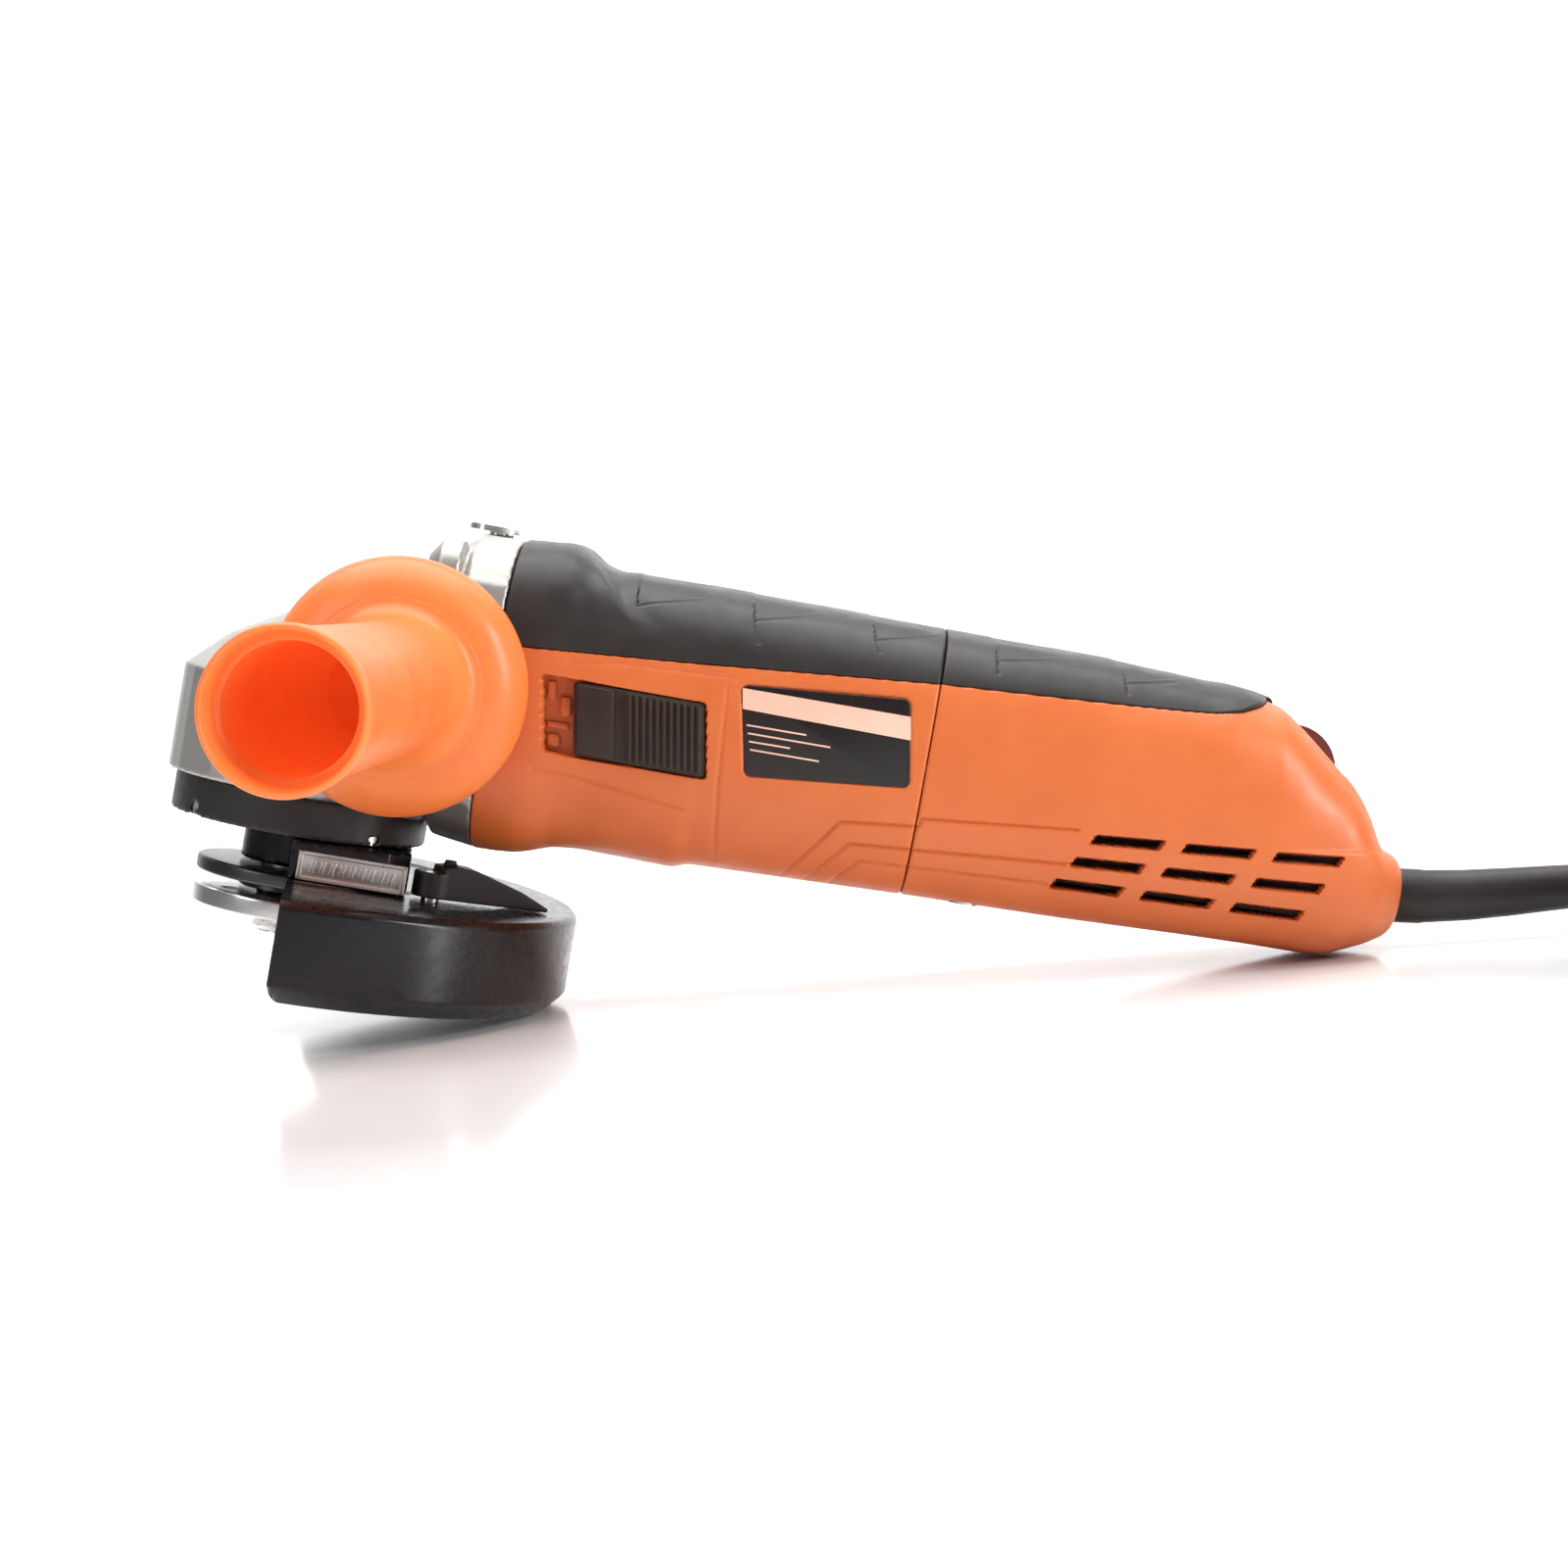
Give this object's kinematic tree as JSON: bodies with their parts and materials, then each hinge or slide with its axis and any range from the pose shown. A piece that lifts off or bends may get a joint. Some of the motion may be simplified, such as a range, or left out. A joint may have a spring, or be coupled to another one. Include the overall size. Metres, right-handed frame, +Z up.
{
  "type": "angle grinder",
  "caption": "Corded angle grinder with a slide switch, gear head, quick-turn guard, disc flanges, hollow side handle and coiled mains lead.",
  "frame": {"origin": "centre of the tool's footprint box on the table, without the mains lead", "axes": "+X towards the tail along the table, +Y away from the side handle, +Z up; the tool leans back at 14.3 degrees, on its guard's rear rim and its tail"},
  "size_m": [0.4199, 0.2487, 0.1107],
  "materials": {
    "cast_aluminium": "as-cast, bright, finely grained",
    "black_cast": "black satin paint on a casting",
    "zinc_screw": "zinc plated",
    "bearing_steel": "ground",
    "bronze": "plain",
    "orange_shell": "orange glass-filled nylon, fine spark texture",
    "grip_rubber": "soft dark grey overmould, satin",
    "moulded_black": "black nylon",
    "lamination_steel": "stacked sheet, varnished",
    "copper_wire": "enamelled copper",
    "carbon": "pressed carbon",
    "spring_steel": "drawn wire",
    "plate_print": "dark printed film, glossy",
    "circuit_board": "solder mask",
    "capacitor_case": "moulded",
    "bright_steel": "turned, bright",
    "dark_steel": "oiled, hardened",
    "handle_orange": "light orange polypropylene, slightly translucent",
    "white_nylon": "natural nylon",
    "toggle_black": "black",
    "guard_black": "gloss black powder coat",
    "clamp_steel": "pressed sheet",
    "dial_red": "dark red, knurled",
    "lead_sheath": "dark grey rubber sheath",
    "tie_strap": "hook-and-loop strap"
  },
  "bodies": {
    "root": {"gear_head": "cast_aluminium", "bearing_cover": "black_cast", "cover_screws": "zinc_screw", "spindle_bearing": "bearing_steel", "spindle_bush": "bronze", "head_screws": "zinc_screw", "motor_housing": "orange_shell", "front_grip": "grip_rubber", "front_bearing": "bearing_steel", "fan_baffle": "moulded_black", "stator_core": "lamination_steel", "field_coils": "copper_wire", "brush_holders": "bronze", "carbon_brushes": "carbon", "brush_springs": "spring_steel", "rear_bearing": "bearing_steel", "name_plate": "plate_print", "rear_cover": "orange_shell", "rear_grip": "grip_rubber", "rear_cover_screws": "zinc_screw", "power_switch": "moulded_black", "speed_module": "circuit_board", "suppression_capacitor": "capacitor_case", "cord_clamp": "moulded_black", "cord_clamp_screws": "zinc_screw", "handle_stud": "bright_steel", "side_handle": "handle_orange", "lock_spring": "spring_steel", "strain_relief": "lead_sheath", "lead_run": "lead_sheath", "lead_coil": "lead_sheath", "lead_tail": "lead_sheath", "coil_tie": "tie_strap", "plug_body": "lead_sheath", "plug_pins": "bright_steel"},
    "spindle_unit": {"spindle": "bright_steel", "crown_gear": "dark_steel", "inner_flange": "dark_steel", "flange_nut": "bright_steel"},
    "armature": {"armature_shaft": "bright_steel", "pinion": "dark_steel", "lock_collar": "dark_steel", "cooling_fan": "moulded_black", "armature_core": "lamination_steel", "armature_windings": "copper_wire", "commutator": "copper_wire"},
    "switch_slide": {"switch_slider": "moulded_black", "switch_link": "white_nylon", "switch_toggle": "toggle_black"},
    "lock": {"lock_button": "bright_steel"},
    "guard": {"guard_shell": "guard_black", "guard_collar": "guard_black", "clamp_plate": "clamp_steel", "guard_rivets": "zinc_screw", "lever_pin": "zinc_screw"},
    "lever": {"clamp_lever": "moulded_black"},
    "dial": {"speed_dial": "dial_red"}
  },
  "joints": [
    {"name": "armature_spin", "type": "hinge", "parent": "root", "child": "armature", "pos_m": [-0.02316, 0.058, 0.0621], "axis": [0.9692, 0, -0.2462], "continuous": true},
    {"name": "spindle_spin", "type": "hinge", "parent": "root", "child": "spindle_unit", "pos_m": [-0.11055, 0.058, 0.04303], "axis": [0.2462, 0, 0.9692], "continuous": true},
    {"name": "switch_travel", "type": "slide", "parent": "root", "child": "switch_slide", "axis": [0.9692, 0, -0.2462], "range_m": [-0.006, 0]},
    {"name": "lock_press", "type": "slide", "parent": "root", "child": "lock", "axis": [-0.2462, 0, -0.9692], "range_m": [0, 0.0045], "stiffness_N_per_m": 600, "springref_m": -0.005, "deforming": ["lock_spring"]},
    {"name": "guard_swivel", "type": "hinge", "parent": "root", "child": "guard", "pos_m": [-0.11153, 0.058, 0.03916], "axis": [0.2462, 0, 0.9692], "range_deg": [-60, 60]},
    {"name": "lever_swing", "type": "hinge", "parent": "guard", "child": "lever", "pos_m": [-0.07837, 0.04197, 0.03176], "axis": [0.2462, 0, 0.9692], "range_deg": [0, 60]},
    {"name": "dial_turn", "type": "hinge", "parent": "root", "child": "dial", "pos_m": [0.11362, 0.058, 0.04211], "axis": [0, 1, 0], "range_deg": [0, 270]}
  ],
  "couplings": [
    {"joint": "spindle_spin", "follows": "armature_spin", "ratio": 0.31429}
  ]
}
